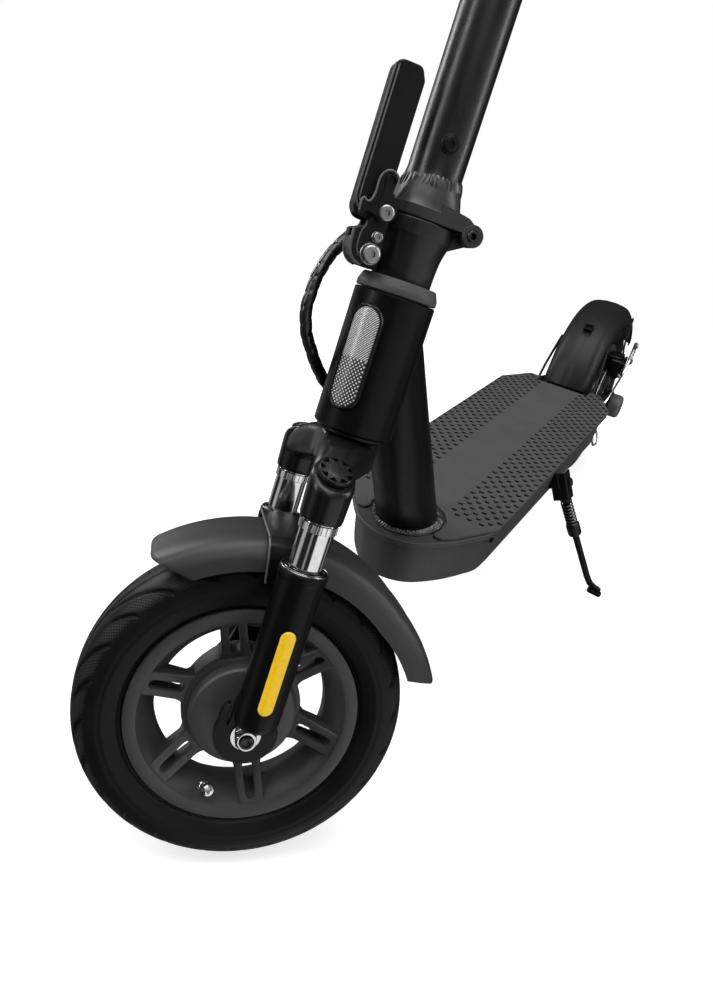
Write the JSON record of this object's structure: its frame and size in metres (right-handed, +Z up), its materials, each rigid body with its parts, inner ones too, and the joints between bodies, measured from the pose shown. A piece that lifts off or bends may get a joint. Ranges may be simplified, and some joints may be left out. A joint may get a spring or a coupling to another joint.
{
  "type": "electric kick scooter",
  "caption": "Folding electric kick scooter with a hub-motor front wheel, sprung fork, rubber-topped deck, rear disc brake and kickstand.",
  "frame": {"origin": "middle of the object's footprint, on the floor", "axes": "+Z up, -Y forwards along the deck, +X to the rider's left; the deck is straight along Y and the front wheel is turned to the right"},
  "size_m": [0.3404, 1.1094, 1.2294],
  "materials": {
    "tyre": "black road tyre rubber, satin, with curved sipes",
    "black_metal": "satin black powder coat",
    "black_gloss": "gloss black paint",
    "graphite_metal": "satin graphite cast alloy",
    "collar_grey": "dark grey anodised",
    "mat_rubber": "dark grey moulded rubber",
    "fender_plastic": "fine-textured dark grey plastic",
    "chrome": "polished chrome plate",
    "steel": "zinc plated steel",
    "amber": "amber reflective plastic",
    "white_reflector": "clear prismatic reflector",
    "black_plastic": "black moulded plastic",
    "rubber": "black rubber",
    "cable_jacket": "black spiral wrap and cable jacket",
    "red_lens": "red lamp lens",
    "lens": "clear lamp lens",
    "cell_wrap": "blue heat-shrink",
    "copper": "varnished copper winding",
    "board_case": "bare cast case",
    "cap_grey": "grey satin plastic"
  },
  "bodies": {
    "frame": {"deck_shell": "black_metal", "deck_cover": "black_plastic", "battery_pack": "cell_wrap", "motor_controller": "board_case", "deck_mat": "mat_rubber", "frame_neck": "black_metal", "front_reflector": "white_reflector", "rear_dropout_left": "black_metal", "rear_dropout_right": "black_metal", "rear_axle": "steel", "axle_cap_left": "cap_grey", "rear_fender": "fender_plastic", "fender_hook_plug": "rubber", "tail_light": "red_lens", "brake_caliper": "black_metal", "brake_cable_rear": "cable_jacket", "kickstand_bracket": "black_metal", "cable_loom": "cable_jacket"},
    "steer": {"fork_crown": "black_gloss", "adjuster_cap_left": "black_plastic", "adjuster_cap_right": "black_plastic", "stanchion_left": "chrome", "stanchion_right": "chrome", "headset_collar": "collar_grey", "fold_base": "black_metal", "hinge_pin": "steel", "latch_bracket": "black_metal", "latch_pivot_bolt": "steel", "latch_base_bolt": "steel"},
    "fork_lower": {"lower_leg_left": "black_metal", "lower_leg_right": "black_metal", "front_axle": "steel", "axle_nut_left": "chrome", "axle_nut_right": "chrome", "motor_stator": "copper", "leg_reflector_left": "amber", "leg_reflector_right": "amber", "front_mudguard": "fender_plastic", "mudguard_bridge": "black_metal"},
    "front_wheel": {"front_tyre": "tyre", "front_rim": "graphite_metal"},
    "rear_wheel": {"rear_tyre": "tyre", "rear_rim": "graphite_metal", "brake_disc": "steel"},
    "stem": {"stem_tube": "black_metal", "handlebar": "black_metal", "grip_left": "rubber", "grip_right": "rubber", "display": "black_plastic", "headlight": "black_plastic", "headlight_lens": "lens", "brake_perch": "black_metal", "throttle_body": "black_plastic"},
    "latch": {"latch_lever": "black_metal"},
    "catch": {"safety_catch": "black_metal"},
    "brake_lever": {"brake_lever": "black_metal"},
    "throttle": {"throttle_lever": "black_plastic"},
    "caliper_arm": {"caliper_arm": "black_metal"},
    "kickstand": {"kickstand_rod": "black_metal", "kickstand_spring": "black_metal"}
  },
  "joints": [
    {"name": "steering", "type": "hinge", "parent": "frame", "child": "steer", "pos_m": [-0.01663, -0.36843, 0.33895], "axis": [0, 0.33, 0.944], "range_deg": [-8, 111.5], "deforming": ["cable_loom"]},
    {"name": "fork_travel", "type": "slide", "parent": "steer", "child": "fork_lower", "axis": [0, 0.33, 0.944], "range_m": [0, 0.028], "stiffness_N_per_m": 9000, "springref_m": -0.008},
    {"name": "front_wheel_spin", "type": "hinge", "parent": "fork_lower", "child": "front_wheel", "pos_m": [-0.03146, -0.45547, 0.12551], "axis": [0.6198, -0.7408, 0.259], "continuous": true},
    {"name": "rear_wheel_spin", "type": "hinge", "parent": "frame", "child": "rear_wheel", "pos_m": [-0.01663, 0.4155, 0.127], "axis": [1, 0, 0], "continuous": true},
    {"name": "stem_fold", "type": "hinge", "parent": "steer", "child": "stem", "pos_m": [0.00848, -0.29955, 0.47589], "axis": [-0.6198, 0.7408, -0.259], "range_deg": [0, 80]},
    {"name": "latch_lever_turn", "type": "hinge", "parent": "steer", "child": "latch", "pos_m": [-0.04017, -0.33747, 0.48385], "axis": [0.6198, -0.7408, 0.259], "range_deg": [0, 75]},
    {"name": "safety_catch_turn", "type": "hinge", "parent": "steer", "child": "catch", "pos_m": [-0.02592, -0.35451, 0.48981], "axis": [0.6198, -0.7408, 0.259], "range_deg": [0, 30], "stiffness_Nm_per_rad": 0.05, "springref_deg": -28.65},
    {"name": "brake_lever_pull", "type": "hinge", "parent": "stem", "child": "brake_lever", "pos_m": [0.02743, -0.17619, 1.18491], "axis": [0, 0.33, 0.944], "range_deg": [0, 12], "stiffness_Nm_per_rad": 0.6, "springref_deg": -11.46},
    {"name": "throttle_press", "type": "hinge", "parent": "stem", "child": "throttle", "pos_m": [-0.0727, 0.00369, 1.10506], "axis": [-0.6198, 0.7408, -0.259], "range_deg": [0, 14], "stiffness_Nm_per_rad": 0.08, "springref_deg": -17.19},
    {"name": "caliper_arm_turn", "type": "hinge", "parent": "frame", "child": "caliper_arm", "pos_m": [0.04137, 0.41038, 0.20325], "axis": [-1, 0, 0], "range_deg": [0, 24]},
    {"name": "kickstand_swing", "type": "hinge", "parent": "frame", "child": "kickstand", "pos_m": [0.06537, 0.04914, 0.1509], "axis": [0.9012, 0.0164, 0.4332], "range_deg": [0, 72]}
  ],
  "couplings": [
    {"joint": "caliper_arm_turn", "follows": "brake_lever_pull", "ratio": 1.6}
  ]
}
